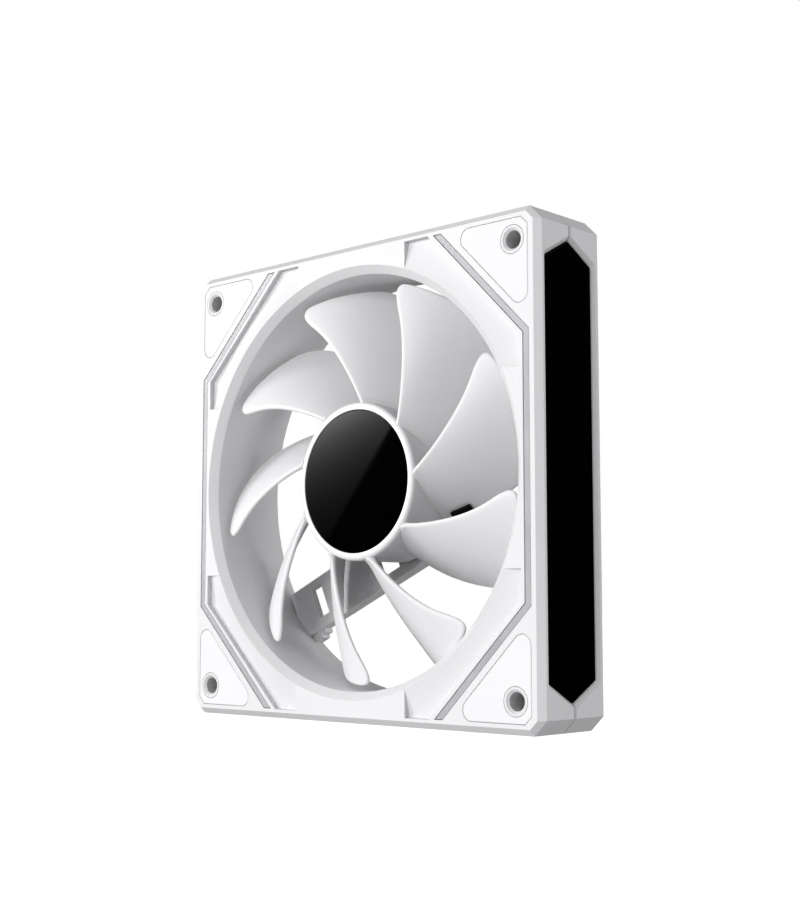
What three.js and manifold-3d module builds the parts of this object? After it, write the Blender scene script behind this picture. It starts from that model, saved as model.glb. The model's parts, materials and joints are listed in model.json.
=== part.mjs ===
// A 120 mm case fan: a two-piece square frame with corner pads, front light strips and mirror side
// panels, a four-pole brushless motor on a four-strut base, and a nine-blade impeller.
// Millimetres, +Z up, air enters from -Y and leaves towards +Y, origin under the middle of the frame.

import * as THREE from "three";
import { mergeVertices } from "three/addons/utils/BufferGeometryUtils.js";
import Module from "manifold-3d";

const wasm = await Module();
wasm.setup();

// ---- Driving dimensions. Depths run from 0 at the front face to FRAME_DEPTH at the rear face. ----

const FRAME_HALF = 60;
const FRAME_DEPTH = 25;
const CORNER_CHAMFER = 3.5;
const FRONT_BEVEL = 1.5;
const REAR_BEVEL = 2;
const SEAM_DEPTH = 12.25;
const GAP = 0.3;

const DUCT_R = 52.3;
const DUCT_LIP_R = 54.3;
const DUCT_LIP_DEPTH = 2;
const DUCT_FLARE_START = 13;
const DUCT_EXIT_R = 53.7;
const DUCT_SEGMENTS = 72;

const MOUNT_HOLE_PITCH = 105;
const MOUNT_HOLE_R = 2.15;
const MOUNT_BOSS_R = 3.35;
const MOUNT_COUNTERSINK_R = 2.7;

const PAD_EDGE_X = 57;
const PAD_EDGE_Z = 57.5;
const PAD_CORNER_CUT = 1.9;
const PAD_DIAGONAL = 90.8;
const PAD_CORNER_R = 2.6;
const PAD_THICKNESS = 1.3;

const POCKET_DEPTH = 1.35;
const POCKET_FLAT_R = 59.8;

const STRIP_INNER_X = 55.3;
const STRIP_OUTER_X = 57.1;
const STRIP_INNER_DIAGONAL = 85.9;
const STRIP_OUTER_DIAGONAL = 88.4;
const STRIP_END_Z = 57.6;
const STRIP_GROOVE_DEPTH = 2.7;
const STRIP_THICKNESS = 1.2;
const STRIP_BOARD_THICKNESS = 0.7;

const SIDE_MID_DEPTH = 12.2;
const SIDE_RIM_HALF = 9.9;
const SIDE_RIM_SHOULDER = 49;
const SIDE_RIM_APEX = 54.4;
const SIDE_BEVEL = 1;
const SIDE_RECESS = 4.2;
const MIRROR_SETBACK = 0.6;
const MIRROR_THICKNESS = 1;
const GUIDE_THICKNESS = 1;
const GUIDE_WIDTH = 2.2;
const SIDE_BOARD_THICKNESS = 0.7;

const HUB_R = 20;
const HUB_FRONT = 2;
const HUB_REAR = 18.5;
const HUB_WALL = 1.2;
const HUB_CAP_R = 18;
const HUB_CAP_THICKNESS = 0.9;
const HUB_SEGMENTS = 48;
const SMALL_SEGMENTS = 24;
const SCREW_SEGMENTS = 16;

const BLADE_COUNT = 9;
const BLADE_TIP_R = 50.8;
const BLADE_ROOT_R = 19.5;
const BLADE_HALF_THICKNESS = 0.65;
const BLADE_TAIL_SHARE = 0.5;
const BLADE_CORNER_R = 6.6;
const BLADE_CHORD_STEPS = 8;
const BLADE_SPAN_STEPS = 5;

const CLIP_BLADE = 2;
const CLIP_FROM_R = 22.1;
const CLIP_TO_R = 27.1;
const CLIP_CHORD_FROM = 0.86;
const CLIP_WALL = 0.5;

const MOTOR_BASE_R = 21.3;
const MOTOR_BASE_FRONT = 20.9;
const MOTOR_BASE_REAR = 24.8;
const STRUT_ANGLE = 204.5;
const STRUT_OUTER_EDGE = 21;
const STRUT_INNER_EDGE = 16;
const CHANNEL_INNER_EDGE = 7.6;
const CHANNEL_WALL = 1.2;
const CHANNEL_FLOOR = 1.4;
const COVER_THICKNESS = 0.7;
const TRENCH_END = 46;
const SLOT_FROM = 39;
const SLOT_TO = 42.8;
const SLOT_LOW = 10;
const SLOT_HIGH = 18.2;
const WINDOW_FROM = 10.4;
const WINDOW_TO = 17.2;
const COVER_FROM = 19.2;
const LEAD_LOW = 10.6;
const LEAD_HIGH = 13.2;
const SOCKET_LENGTH = 5;

const SHAFT_R = 1.5;
const BEARING_CLEARANCE = 0.06;
const BEARING_SEGMENTS = 32;
const BEARING_R = 3;
const TUBE_R = 4.6;
const CORE_R = 14.6;
const TOOTH_WIDTH = 4;
const CORE_FRONT = 9.6;
const CORE_REAR = 15;
const BOARD_FRONT = 19;
const BOARD_THICKNESS = 1;

const FRAME_SCREW_PLACE = 47.5;
const FRAME_SCREW_R = 1.2;
const FRAME_SCREW_HEAD_R = 2.1;

const FINISH = {
  whiteFrame: { color: 0xf2f2f4, roughness: 0.45, metalness: 0 },
  whitePad: { color: 0xf0f0f2, roughness: 0.6, metalness: 0 },
  whiteBlade: { color: 0xe6e6e9, roughness: 0.4, metalness: 0 },
  diffuser: { color: 0xd2d2d6, roughness: 0.5, metalness: 0 },
  mirror: { color: 0x050505, roughness: 0.05, metalness: 0 },
  board: { color: 0x20402c, roughness: 0.5, metalness: 0 },
  steel: { color: 0x8d9095, roughness: 0.35, metalness: 1 },
  magnet: { color: 0x26262a, roughness: 0.6, metalness: 0 },
  brass: { color: 0xb08d4a, roughness: 0.35, metalness: 1 },
  copper: { color: 0xb4643a, roughness: 0.4, metalness: 1 },
  blackPlastic: { color: 0x151517, roughness: 0.5, metalness: 0 },
  nylon: { color: 0xd8d4c8, roughness: 0.6, metalness: 0 },
};

const CORNERS = [
  { name: "top_left", x: -1, z: 1 },
  { name: "top_right", x: 1, z: 1 },
  { name: "bottom_left", x: -1, z: -1 },
  { name: "bottom_right", x: 1, z: -1 },
];
const SIDES = [
  { name: "left", x: -1 },
  { name: "right", x: 1 },
];

// ---- Solids ----

const radians = THREE.MathUtils.degToRad;

// A closed geometry as a solid, with shared vertices merged and empty triangles dropped.
function toSolid(geometry) {
  const bare = new THREE.BufferGeometry();
  bare.setAttribute("position", geometry.getAttribute("position").clone());
  if (geometry.index) bare.setIndex(geometry.index.clone());
  const merged = mergeVertices(bare, 1e-4);
  const corners = merged.index.array;
  const triangles = [];
  for (let i = 0; i < corners.length; i += 3) {
    const [a, b, c] = corners.slice(i, i + 3);
    if (a !== b && b !== c && c !== a) triangles.push(a, b, c);
  }
  return new wasm.Manifold(
    new wasm.Mesh({
      numProp: 3,
      vertProperties: new Float32Array(merged.attributes.position.array),
      triVerts: new Uint32Array(triangles),
    }),
  );
}

function toGeometry(solid) {
  const mesh = solid.getMesh();
  const geometry = new THREE.BufferGeometry();
  geometry.setAttribute("position", new THREE.BufferAttribute(mesh.vertProperties, 3));
  geometry.setIndex(new THREE.BufferAttribute(mesh.triVerts, 1));
  geometry.computeVertexNormals();
  return geometry;
}

const join = (solids) => solids.reduce((all, next) => all.add(next));
const cut = (solid, tools) => tools.reduce((left, tool) => left.subtract(tool), solid);

// Outline points are [x, z] pairs as seen from the front, with +X to the right.
const toShape = (points) => new THREE.Shape(points.map(([x, z]) => new THREE.Vector2(x, z)));

function prism(shape, from, to) {
  const geometry = new THREE.ExtrudeGeometry(shape, {
    depth: to - from,
    bevelEnabled: false,
    curveSegments: 8,
  });
  geometry.rotateX(Math.PI / 2);
  geometry.translate(0, to, 0);
  return toSolid(geometry);
}

// A ring or disc about the fan's axis: the profile is a closed loop of [radius, depth] points.
function turned(profile, segments = HUB_SEGMENTS, x = 0, z = 0) {
  const loop = profile.map(([r, depth]) => new THREE.Vector2(r, depth));
  if (THREE.ShapeUtils.area(loop) < 0) loop.reverse();
  loop.push(loop[0].clone());
  const geometry = new THREE.LatheGeometry(loop, segments);
  geometry.translate(x, 0, z);
  return toSolid(geometry);
}

const disc = (r, from, to, segments, x, z) =>
  turned([[0, from], [r, from], [r, to], [0, to]], segments, x, z);

const tube = (inner, outer, from, to, segments, x, z) =>
  turned([[inner, from], [outer, from], [outer, to], [inner, to]], segments, x, z);

function block(x0, x1, y0, y1, z0, z1) {
  const geometry = new THREE.BoxGeometry(x1 - x0, y1 - y0, z1 - z0);
  geometry.translate((x0 + x1) / 2, (y0 + y1) / 2, (z0 + z1) / 2);
  return toSolid(geometry);
}

// Convex outlines of the same number of points, each at its own place along an axis, skinned and
// capped. place turns an outline point and its layer's position into x, y and z.
function skinned(layers, place) {
  const count = layers[0].outline.length;
  const points = layers.flatMap(({ outline, at }) => outline.map((p) => place(p, at)));
  const index = [];
  for (let layer = 0; layer + 1 < layers.length; layer++) {
    for (let i = 0; i < count; i++) {
      const a = layer * count + i;
      const b = layer * count + ((i + 1) % count);
      index.push(a, b, b + count, a, b + count, a + count);
    }
  }
  const last = (layers.length - 1) * count;
  for (let i = 1; i + 1 < count; i++) {
    index.push(0, i + 1, i);
    index.push(last, last + i, last + i + 1);
  }
  const geometry = new THREE.BufferGeometry();
  geometry.setAttribute("position", new THREE.Float32BufferAttribute(points.flat(), 3));
  geometry.setIndex(index);
  const solid = toSolid(geometry);
  if (solid.volume() > 0) return solid;
  geometry.setIndex(index.reverse());
  return toSolid(geometry);
}

const mirrored = (points, sx, sz) => points.map(([x, z]) => [x * sx, z * sz]);

// ---- Frame outlines ----

function chamferedSquare(half, chamfer) {
  const near = half - chamfer;
  return [
    [half, -near], [half, near], [near, half], [-near, half],
    [-half, near], [-half, -near], [-near, -half], [near, -half],
  ];
}

// The whole frame block with its bevelled front and rear edges.
function frameBlock() {
  const face = (bevel) => chamferedSquare(FRAME_HALF - bevel, CORNER_CHAMFER - bevel);
  return skinned(
    [
      { outline: face(FRONT_BEVEL), at: 0 },
      { outline: face(0), at: FRONT_BEVEL },
      { outline: face(0), at: FRAME_DEPTH - REAR_BEVEL },
      { outline: face(REAR_BEVEL), at: FRAME_DEPTH },
    ],
    ([x, z], depth) => [x, depth, z],
  );
}

// The air duct: a bevelled lip at the front, a straight throat and a gentle flare to the rear.
function ductBore() {
  return turned(
    [
      [0, -1], [DUCT_LIP_R + 1, -1], [DUCT_R, DUCT_LIP_DEPTH],
      [DUCT_R, DUCT_FLARE_START], [DUCT_EXIT_R, FRAME_DEPTH], [DUCT_EXIT_R + 0.12, FRAME_DEPTH + 1],
      [0, FRAME_DEPTH + 1],
    ],
    DUCT_SEGMENTS,
  );
}

// The corner pad's outline in the +X +Z corner, shrunk all round by inset, its acute ends rounded.
function padShape(corner, inset) {
  const x = PAD_EDGE_X - inset;
  const z = PAD_EDGE_Z - inset;
  const diagonal = PAD_DIAGONAL + inset * Math.SQRT2;
  const cutOff = PAD_CORNER_CUT - inset * (2 - Math.SQRT2);
  const r = PAD_CORNER_R - inset;
  const reach = r / Math.tan(radians(22.5));
  const points = [[x - cutOff, z], [x, z - cutOff]];
  for (const [cx, cz, start] of [
    [x - r, diagonal - x + reach, 0],
    [diagonal - z + reach, z - r, 225],
  ]) {
    for (let step = 0; step <= 4; step++) {
      const angle = radians(start - (step * 135) / 4);
      points.push([cx + r * Math.cos(angle), cz + r * Math.sin(angle)]);
    }
  }
  return toShape(mirrored(points, corner.x, corner.z));
}

function pocketShape(corner) {
  const points = [[19, 57.7], [26.5, 57.7], [54.2, 30.7], [54.2, 23], [30, 23], [19, 40]];
  return toShape(mirrored(points, corner.x, corner.z));
}

// A bracket of the light strip: a straight upright with a diagonal arm at each end.
function stripShape(side, inset) {
  const inner = STRIP_INNER_X + inset;
  const outer = STRIP_OUTER_X - inset;
  const innerSum = STRIP_INNER_DIAGONAL + inset * Math.SQRT2;
  const outerSum = STRIP_OUTER_DIAGONAL - inset * Math.SQRT2;
  const end = STRIP_END_Z - inset;
  const half = [[outer, outerSum - outer], [outerSum - end, end], [innerSum - end, end], [inner, innerSum - inner]];
  const other = half.map(([x, z]) => [x, -z]).reverse();
  return toShape(mirrored([...half, ...other], side.x, 1));
}

// The elongated hexagon of the side panels as [depth, z] points, shrunk all round by inset.
function sideHexagon(inset) {
  const half = SIDE_RIM_HALF - inset;
  const shoulder = SIDE_RIM_SHOULDER - inset * 0.6;
  const apex = SIDE_RIM_APEX - inset * 1.15;
  return [
    [SIDE_MID_DEPTH - half, -shoulder], [SIDE_MID_DEPTH, -apex], [SIDE_MID_DEPTH + half, -shoulder],
    [SIDE_MID_DEPTH + half, shoulder], [SIDE_MID_DEPTH, apex], [SIDE_MID_DEPTH - half, shoulder],
  ];
}

// A hexagonal slab on one side of the frame, from one distance off the fan's axis to another.
function sideSlab(side, from, to, insetFrom, insetTo = insetFrom) {
  return skinned(
    [
      { outline: sideHexagon(insetFrom), at: from },
      { outline: sideHexagon(insetTo), at: to },
    ],
    ([depth, z], x) => [x * side.x, depth, z],
  );
}

function sideRecess(side) {
  const mouth = sideSlab(side, FRAME_HALF - SIDE_BEVEL, FRAME_HALF + 0.5, SIDE_BEVEL, -0.5);
  const well = sideSlab(side, FRAME_HALF - SIDE_RECESS, FRAME_HALF, SIDE_BEVEL);
  return mouth.add(well);
}

// ---- Frame halves ----

// Cutters for one corner of a face, drawn for the front face: pad recess round the screw boss,
// screw hole and sloping pocket beside the duct's lip.
function cornerCutters(corner) {
  const place = MOUNT_HOLE_PITCH / 2;
  const x = place * corner.x;
  const z = place * corner.z;
  const floor = PAD_THICKNESS + GAP;
  const boss = disc(MOUNT_BOSS_R, -2, floor + 1, SMALL_SEGMENTS, x, z);
  const recess = prism(padShape(corner, 0), -1, floor).subtract(boss);
  const hole = turned(
    [
      [0, -1], [MOUNT_COUNTERSINK_R + 1, -1], [MOUNT_HOLE_R, MOUNT_COUNTERSINK_R - MOUNT_HOLE_R],
      [MOUNT_HOLE_R, SEAM_DEPTH + 1], [0, SEAM_DEPTH + 1],
    ],
    SMALL_SEGMENTS, x, z,
  );
  const slope = turned(
    [[DUCT_LIP_R, -1], [DUCT_LIP_R, 0], [POCKET_FLAT_R, POCKET_DEPTH], [90, POCKET_DEPTH], [90, -1]],
    DUCT_SEGMENTS,
  );
  return [recess, hole, prism(pocketShape(corner), -1, 3).intersect(slope)];
}

// The same cutters turned over for the rear face.
const turnedOver = (solid) => solid.rotate([0, 0, 180]).translate([0, FRAME_DEPTH, 0]);

const screwBore = ({ x, z }, r, from, to) =>
  disc(r, from, to, SCREW_SEGMENTS, FRAME_SCREW_PLACE * x, FRAME_SCREW_PLACE * z);

function frontFrame() {
  const half = block(-70, 70, -1, SEAM_DEPTH - GAP / 2, -70, 70);
  const grooves = SIDES.map((side) => prism(stripShape(side, 0), -1, STRIP_GROOVE_DEPTH));
  const pilots = CORNERS.map((corner) =>
    screwBore(corner, FRAME_SCREW_R + GAP, 5.5, SEAM_DEPTH + 1),
  );
  return cut(frameBlock().intersect(half), [
    ductBore(),
    ...CORNERS.flatMap(cornerCutters),
    ...grooves,
    ...SIDES.map(sideRecess),
    ...pilots,
  ]);
}

// A bar that leaves the motor base sideways. Its run lies along the strut's own direction and its
// low and high edges are distances from the fan's axis, square to that direction.
function strutBar(quarter, runFrom, runTo, low, high, from, to) {
  const shape = toShape([[runFrom, low], [runTo, low], [runTo, high], [runFrom, high]]);
  return prism(shape, from, to).rotate([0, -(STRUT_ANGLE + 90 * quarter), 0]);
}

const ringReach = (edge) => Math.sqrt((DUCT_EXIT_R + 1.5) ** 2 - edge ** 2);

function motorBase() {
  const plate = disc(MOTOR_BASE_R, MOTOR_BASE_FRONT, MOTOR_BASE_REAR);
  const struts = [1, 2, 3].map((quarter) =>
    strutBar(
      quarter, 0, ringReach(STRUT_OUTER_EDGE), STRUT_INNER_EDGE, STRUT_OUTER_EDGE,
      MOTOR_BASE_FRONT + 0.3, MOTOR_BASE_REAR,
    ),
  );
  const channel = strutBar(
    0, 0, ringReach(STRUT_OUTER_EDGE), CHANNEL_INNER_EDGE, STRUT_OUTER_EDGE,
    MOTOR_BASE_FRONT, MOTOR_BASE_REAR,
  );
  const teeth = [0, 1].map((step) =>
    strutBar(
      0, 43.5 + step * 1.6, 49.5 + step * 0.4, STRUT_OUTER_EDGE - 1, STRUT_OUTER_EDGE + 1.2 + step,
      MOTOR_BASE_FRONT + 1, MOTOR_BASE_REAR,
    ),
  );
  return join([plate, ...struts, channel, ...teeth]);
}

// What is taken out of the motor base: the seat of the bearing tube, the well of the rear cover,
// the cable channel with its window towards the circuit board, and the slot across the channel.
function motorBaseCutters() {
  const low = CHANNEL_INNER_EDGE + CHANNEL_WALL;
  const high = STRUT_OUTER_EDGE - CHANNEL_WALL;
  const floor = MOTOR_BASE_FRONT + CHANNEL_FLOOR;
  return [
    disc(TUBE_R + GAP, MOTOR_BASE_FRONT - 1, 23.2, SMALL_SEGMENTS),
    disc(19.2, MOTOR_BASE_REAR - 0.8, FRAME_DEPTH + 1),
    strutBar(0, 10, TRENCH_END, low, high, floor, FRAME_DEPTH + 1),
    strutBar(
      0, WINDOW_FROM, WINDOW_TO, low + 1.5, high - 1.5, MOTOR_BASE_FRONT - 1, floor + 1,
    ),
    strutBar(0, SLOT_FROM, SLOT_TO, SLOT_LOW, SLOT_HIGH, MOTOR_BASE_FRONT - 1, FRAME_DEPTH + 1),
  ];
}

function rearFrame() {
  const half = block(-70, 70, SEAM_DEPTH + GAP / 2, FRAME_DEPTH + 1, -70, 70);
  const screwWells = CORNERS.flatMap((corner) => [
    screwBore(corner, FRAME_SCREW_R + GAP, SEAM_DEPTH - 1, 22),
    screwBore(corner, FRAME_SCREW_HEAD_R + GAP, 21.4, FRAME_DEPTH),
  ]);
  const ring = cut(frameBlock().intersect(half), [
    ductBore(),
    ...CORNERS.flatMap(cornerCutters).map(turnedOver),
    ...SIDES.map(sideRecess),
    ...screwWells,
  ]);
  return cut(ring.add(motorBase()), motorBaseCutters());
}

// ---- Pieces carried by the frame ----

function cornerPad(corner, rear) {
  const place = MOUNT_HOLE_PITCH / 2;
  const boss = disc(
    MOUNT_BOSS_R + GAP, -1, 3, SMALL_SEGMENTS, place * corner.x, place * corner.z,
  );
  const pad = prism(padShape(corner, GAP), 0, PAD_THICKNESS).subtract(boss);
  return rear ? turnedOver(pad) : pad;
}

const lightStrip = (side) => prism(stripShape(side, GAP), 0.1, 0.1 + STRIP_THICKNESS);

function stripBoard(side) {
  const front = 0.1 + STRIP_THICKNESS + GAP;
  return prism(stripShape(side, GAP + 0.05), front, front + STRIP_BOARD_THICKNESS);
}

const mirrorOuter = FRAME_HALF - MIRROR_SETBACK;
const guideOuter = mirrorOuter - MIRROR_THICKNESS - GAP;
const sideBoardOuter = guideOuter - GUIDE_THICKNESS - GAP;

const sideMirror = (side) =>
  sideSlab(side, mirrorOuter - MIRROR_THICKNESS, mirrorOuter, SIDE_BEVEL + GAP);

function sideGuide(side) {
  const slab = sideSlab(side, guideOuter - GUIDE_THICKNESS, guideOuter, SIDE_BEVEL + GAP);
  const window = sideSlab(side, guideOuter - 2, guideOuter + 1, SIDE_BEVEL + GAP + GUIDE_WIDTH);
  return slab.subtract(window);
}

const sideBoard = (side) =>
  sideSlab(side, sideBoardOuter - SIDE_BOARD_THICKNESS, sideBoardOuter, SIDE_BEVEL + GAP + 0.2);

function frameScrew({ x, z }) {
  const head = [[0, 23.2], [FRAME_SCREW_HEAD_R, 23.2], [FRAME_SCREW_HEAD_R, 21.7]];
  const shank = [[FRAME_SCREW_R, 21.7], [FRAME_SCREW_R, 7], [0, 6]];
  return turned(
    [...head, ...shank], SCREW_SEGMENTS, FRAME_SCREW_PLACE * x, FRAME_SCREW_PLACE * z,
  );
}

function channelCover() {
  const low = CHANNEL_INNER_EDGE + CHANNEL_WALL + GAP;
  const high = STRUT_OUTER_EDGE - CHANNEL_WALL - GAP;
  const rear = MOTOR_BASE_REAR;
  return strutBar(0, COVER_FROM, SLOT_FROM - 1 - GAP, low, high, rear - COVER_THICKNESS, rear);
}

// The flat lead: along the channel's floor, then forward through the window to the circuit board.
function leadStrip() {
  const floor = MOTOR_BASE_FRONT + CHANNEL_FLOOR + GAP;
  const board = BOARD_FRONT + BOARD_THICKNESS + GAP;
  const rearward = strutBar(0, 10.6, 32, LEAD_LOW, LEAD_HIGH, floor, floor + 0.5);
  const forward = strutBar(0, 10.6, 11.2, LEAD_LOW, LEAD_HIGH, board, floor + 0.5);
  return rearward.add(forward);
}

function powerSocket() {
  const floor = MOTOR_BASE_FRONT + CHANNEL_FLOOR + GAP;
  const rear = MOTOR_BASE_REAR - COVER_THICKNESS - GAP;
  const end = 32 + GAP + SOCKET_LENGTH;
  const shell = strutBar(0, 32 + GAP, end, 10.2, 18.2, floor - 0.1, rear);
  return shell.subtract(strutBar(0, 34, end + 1, 10.9, 17.5, floor + 0.25, rear - 0.35));
}

const motorCover = () => disc(18.9, MOTOR_BASE_REAR - 0.5, MOTOR_BASE_REAR);

// ---- Motor ----

const bearingTube = () =>
  turned(
    [
      [BEARING_R + GAP, 8.4], [TUBE_R, 8.4], [TUBE_R, 22.9], [0, 22.9], [0, 22.1],
      [BEARING_R + GAP, 22.1],
    ],
    SMALL_SEGMENTS,
  );

const bearing = () => tube(SHAFT_R + BEARING_CLEARANCE, BEARING_R, 8.6, 19.2, BEARING_SEGMENTS);

const thrustPad = () => disc(BEARING_R - 0.1, 21, 21.8, SMALL_SEGMENTS);

function crossShape(hubR, armWidth, reach) {
  const parts = [tube(TUBE_R + GAP, hubR, 0, 1, SMALL_SEGMENTS)];
  for (const angle of [45, 135, 225, 315]) {
    parts.push(block(hubR - 0.6, reach, 0, 1, -armWidth / 2, armWidth / 2).rotate([0, angle, 0]));
  }
  return join(parts);
}

const poleAngles = [45, 135, 225, 315];

// Stator laminations: a bored centre, four teeth and a curved shoe on the end of each tooth.
function statorCore() {
  const height = CORE_REAR - CORE_FRONT;
  const centre = crossShape(TUBE_R + GAP + 1.6, TOOTH_WIDTH, CORE_R - 0.5).scale([1, height, 1]);
  const shoes = poleAngles.map((angle) => {
    const sector = toShape([[0, 0], [20, -10.5], [20, 10.5]]);
    const shoe = tube(CORE_R - 1.6, CORE_R, 0, height).intersect(prism(sector, -1, height + 1));
    return shoe.rotate([0, angle, 0]);
  });
  return join([centre, ...shoes]).translate([0, CORE_FRONT, 0]);
}

const BOBBIN_THICKNESS = 0.7;

function bobbin(from) {
  const plate = crossShape(TUBE_R + GAP + 1.6, TOOTH_WIDTH, CORE_R - 2);
  return plate.scale([1, BOBBIN_THICKNESS, 1]).translate([0, from, 0]);
}

function coil(angle) {
  const wrap = BOBBIN_THICKNESS + 2 * GAP;
  const low = CORE_FRONT - wrap;
  const high = CORE_REAR + wrap;
  const inner = TOOTH_WIDTH / 2 + GAP;
  const outer = inner + 1.7;
  const winding = block(8.4, CORE_R - 2.6, low - 1.3, high + 1.3, -outer, outer);
  return winding.subtract(block(8, CORE_R, low, high, -inner, inner)).rotate([0, angle, 0]);
}

const motorBoard = () => tube(TUBE_R + GAP, 17.6, BOARD_FRONT, BOARD_FRONT + BOARD_THICKNESS);

const hallSensor = () => block(-2, 2, BOARD_FRONT - GAP - 1, BOARD_FRONT - GAP, 14.9, 17.2);

// ---- Rotor ----

// The value of a polynomial at a span, its coefficients in rising order.
const along = (coefficients, span) => coefficients.reduceRight((sum, c) => sum * span + c, 0);

// Angles in degrees of a blade's two edges, counter-clockwise seen from the front, and depths of
// its leading edge, its trailing edge and the bow of its chord: polynomials of the span, which is
// 0 at the hub and 1 near the tip.
const BLADE_SPAN = 30;
const LEADING_ANGLE = [85.94, 49.23, -40.09, 23.89, -1.39];
const TRAILING_ANGLE = [51.31, 56.49, -36.66, 25.47, -10.33];
const LEADING_DEPTH = [2.6, -0.65, 1.58];
const TRAILING_DEPTH = [17.9, 4.12, -2.75];
const CHORD_BOW = [7.36, 6.47];

// A point of a blade's middle surface: chord is 0 at the leading edge and 1 at the trailing edge.
function bladePoint(r, chord) {
  const span = (r - HUB_R) / BLADE_SPAN;
  const leading = along(LEADING_ANGLE, span);
  const angle = radians(leading + (along(TRAILING_ANGLE, span) - leading) * chord);
  const front = along(LEADING_DEPTH, span);
  const bow = along(CHORD_BOW, span);
  const depth = front + (along(TRAILING_DEPTH, span) - front - bow) * chord + bow * chord ** 2;
  return new THREE.Vector3(r * Math.cos(angle), depth, r * Math.sin(angle));
}

// A point off the middle surface, to its front for a positive distance.
function besideBlade(r, chord, distance) {
  const step = 1e-3;
  const back = bladePoint(r, chord + step).sub(bladePoint(r, chord - step));
  const out = bladePoint(r + step, chord).sub(bladePoint(r - step, chord));
  return bladePoint(r, chord).addScaledVector(back.cross(out).normalize(), distance);
}

const bladeBody = (chord) => BLADE_HALF_THICKNESS * (1 - (1 - BLADE_TAIL_SHARE) * chord);

// Half the blade's thickness: round at the leading edge, thinner towards the trailing edge.
function bladeHalfThickness(chord) {
  const nose = Math.sqrt(Math.min(1, chord / 0.09));
  const tail = Math.sqrt(Math.min(1, (1 - chord) / 0.03));
  return bladeBody(chord) * Math.max(0.06, Math.min(nose, tail));
}

const BLADE_TIP_CHORD = 30;

// How much of the chord each rounded tip corner takes off at a radius, as a share of the chord.
function tipCornerLoss(r) {
  const into = Math.max(0, r - (BLADE_TIP_R - BLADE_CORNER_R));
  return (BLADE_CORNER_R - Math.sqrt(Math.max(0, BLADE_CORNER_R ** 2 - into ** 2))) / BLADE_TIP_CHORD;
}

function bladeSection(r) {
  const loss = tipCornerLoss(r);
  const side = (share, sign) =>
    besideBlade(r, loss + (1 - 2 * loss) * share, sign * bladeHalfThickness(share));
  const shares = [];
  for (let j = 0; j <= BLADE_CHORD_STEPS; j++) {
    shares.push((1 - Math.cos((Math.PI * j) / BLADE_CHORD_STEPS)) / 2);
  }
  const upper = shares.map((share) => side(share, 1));
  const lower = shares.map((share) => side(share, -1)).reverse();
  return [...upper, ...lower];
}

function blade(number) {
  const radii = [BLADE_ROOT_R];
  const straight = BLADE_TIP_R - BLADE_CORNER_R;
  for (let i = 1; i <= BLADE_SPAN_STEPS; i++) {
    radii.push(HUB_R + ((straight - HUB_R) * i) / BLADE_SPAN_STEPS);
  }
  for (const share of [0.35, 0.6, 0.8, 0.93, 1]) radii.push(straight + BLADE_CORNER_R * share);
  const layers = radii.map((r) => ({ outline: bladeSection(r), at: r }));
  const solid = skinned(layers, (point) => point.toArray());
  return solid.rotate([0, (360 / BLADE_COUNT) * number, 0]);
}

// A curved slab that follows the blades' trailing part at a clearance from both its faces.
function bladeJacket(fromR, toR, fromChord, toChord, clearance) {
  const layers = [];
  for (let i = 0; i <= 4; i++) {
    const r = fromR + ((toR - fromR) * i) / 4;
    const side = (share, sign) => {
      const chord = fromChord + (toChord - fromChord) * share;
      return besideBlade(r, chord, sign * (bladeBody(1) + clearance));
    };
    const shares = [0, 0.5, 1];
    const upper = shares.map((share) => side(share, 1));
    const lower = shares.map((share) => side(share, -1)).reverse();
    layers.push({ outline: [...upper, ...lower], at: r });
  }
  return skinned(layers, (point) => point.toArray());
}

// The U-shaped black balancing clip pushed onto one blade's trailing edge.
function balanceClip() {
  const chord = 23;
  const past = GAP + CLIP_WALL;
  const outer = bladeJacket(CLIP_FROM_R, CLIP_TO_R, CLIP_CHORD_FROM, 1 + past / chord, past);
  const inner = bladeJacket(CLIP_FROM_R - 1, CLIP_TO_R + 1, CLIP_CHORD_FROM - 0.1, 1 + GAP / chord, GAP);
  return outer.subtract(inner).rotate([0, (360 / BLADE_COUNT) * CLIP_BLADE, 0]);
}

function hub() {
  const inner = HUB_R - HUB_WALL;
  const seat = HUB_CAP_R + GAP;
  const floor = HUB_FRONT + HUB_CAP_THICKNESS + 0.5;
  return turned([
    [0, floor], [seat, floor], [seat, HUB_FRONT + 0.35], [seat + 0.35, HUB_FRONT],
    [HUB_R - 0.7, HUB_FRONT], [HUB_R - 0.2, HUB_FRONT + 0.2], [HUB_R, HUB_FRONT + 0.7],
    [HUB_R, HUB_REAR], [inner, HUB_REAR], [inner, floor + 1.2], [0, floor + 1.2],
  ]);
}

function impeller() {
  const blades = [];
  for (let number = 0; number < BLADE_COUNT; number++) blades.push(blade(number));
  return join([hub(), ...blades]);
}

const hubCap = () => disc(HUB_CAP_R, HUB_FRONT + 0.2, HUB_FRONT + 0.2 + HUB_CAP_THICKNESS);

const yokeFront = HUB_FRONT + HUB_CAP_THICKNESS + 0.5 + 1.2 + GAP;
const yokeR = HUB_R - HUB_WALL - GAP;

// The steel cup, with a raised collar that grips the shaft.
const rotorYoke = () =>
  turned([
    [SHAFT_R + GAP, yokeFront], [yokeR, yokeFront], [yokeR, 18.1], [yokeR - 0.8, 18.1],
    [yokeR - 0.8, yokeFront + 0.8], [3.2, yokeFront + 0.8], [3.2, yokeFront + 2.2],
    [SHAFT_R + GAP, yokeFront + 2.2],
  ]);

const ringMagnet = () => tube(CORE_R + 0.5, yokeR - 0.8 - GAP, 7, 17.4);

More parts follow.
